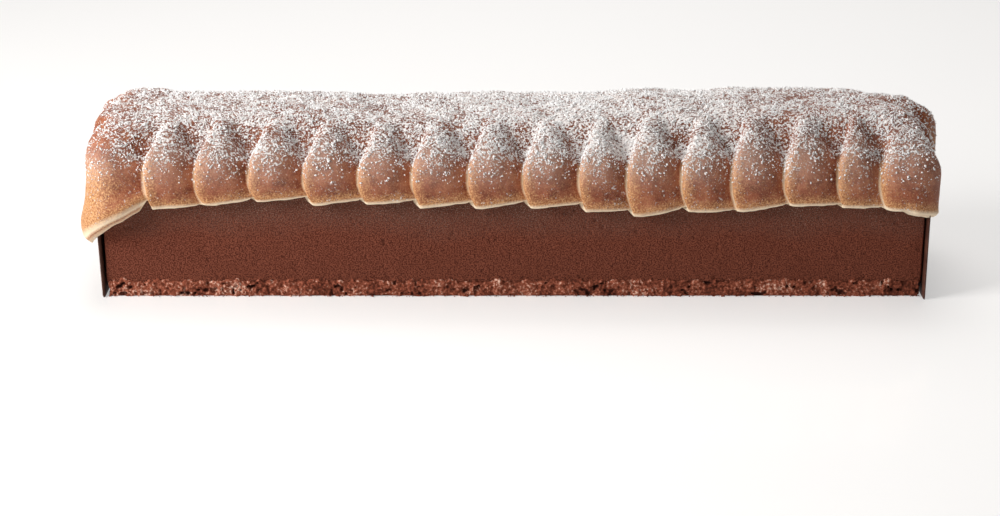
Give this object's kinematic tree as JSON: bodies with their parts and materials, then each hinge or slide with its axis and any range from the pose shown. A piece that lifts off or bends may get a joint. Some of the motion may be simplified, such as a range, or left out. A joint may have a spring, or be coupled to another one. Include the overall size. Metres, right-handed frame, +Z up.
{
  "type": "yule log cake",
  "caption": "Log-shaped chocolate mousse cake on a thin sponge, under a browned topping piped in overlapping lobes and dusted with sugar, with a dark chocolate plaque at each end.",
  "frame": {"origin": "under the middle of the cake, on the surface it stands on", "axes": "+X along the log to its right end, -Y is the front with the crisper lobes, +Z up"},
  "size_m": [0.3694, 0.0946, 0.0775],
  "materials": {
    "chocolate_sponge": "open dark chocolate sponge, crumbly at its cut edge",
    "chocolate_mousse": "matt chocolate mousse with a fine bubbly cut surface",
    "dark_chocolate": "tempered dark chocolate, satin",
    "browned_topping": "baked, browned topping under icing sugar, pale cream at its rim"
  },
  "bodies": {
    "root": {"sponge_base": "chocolate_sponge", "mousse_bar": "chocolate_mousse", "left_plaque": "dark_chocolate", "right_plaque": "dark_chocolate", "lobed_topping": "browned_topping"}
  },
  "joints": []
}
